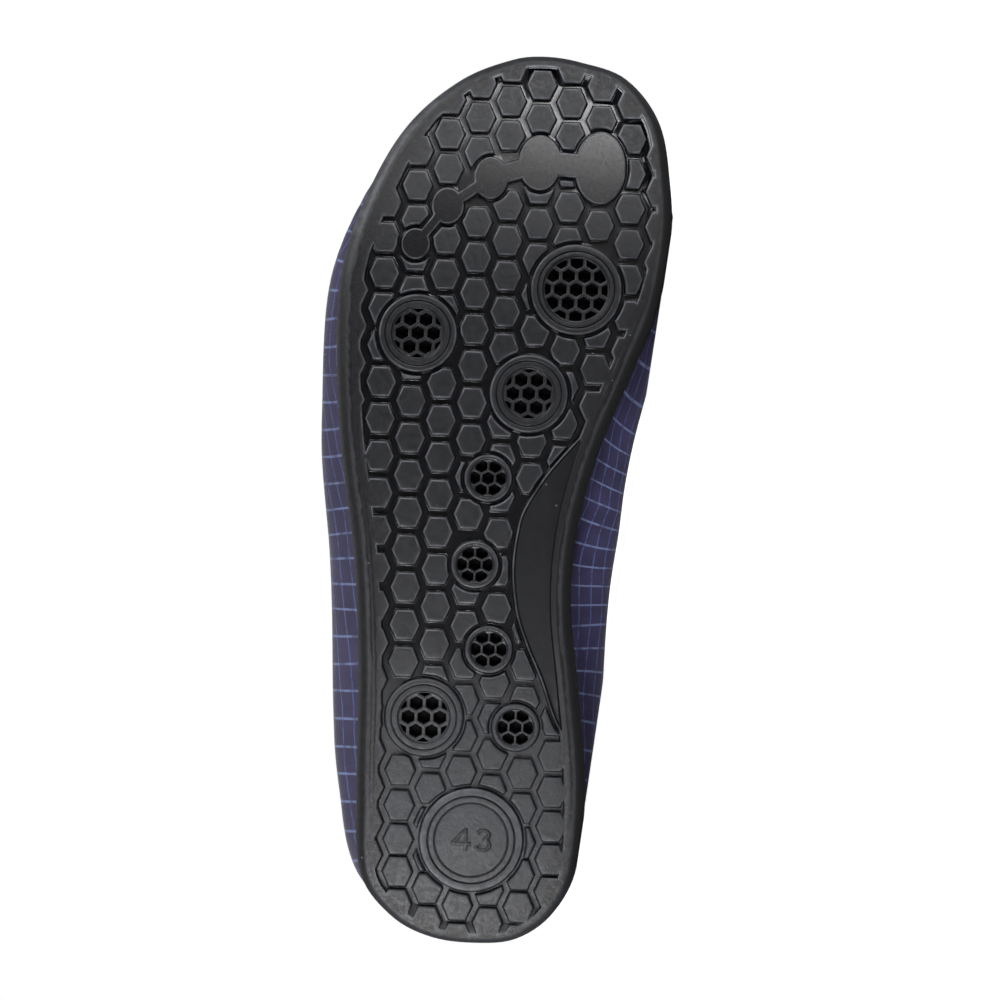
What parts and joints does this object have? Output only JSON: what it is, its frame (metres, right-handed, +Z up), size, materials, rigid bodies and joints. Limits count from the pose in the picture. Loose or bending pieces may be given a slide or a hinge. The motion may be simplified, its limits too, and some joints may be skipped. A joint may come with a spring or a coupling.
{
  "type": "water shoe",
  "caption": "Low slip-on water shoe with a stretch-fabric upper, a loose insole and a cupped rubber outsole with hexagon lugs and drain vents, lying on its side.",
  "frame": {"origin": "centre of the foot of the bounding box, on the floor", "axes": "+X from heel to toe, -Y the way the tread faces, +Z up from the medial side to the lateral side"},
  "size_m": [0.288, 0.0774, 0.1085],
  "materials": {
    "black_rubber": "satin",
    "navy_fabric": "matt knit",
    "dark_foam": "matt"
  },
  "bodies": {
    "root": {"outsole": "black_rubber", "upper": "navy_fabric", "insole": "dark_foam"}
  },
  "joints": []
}
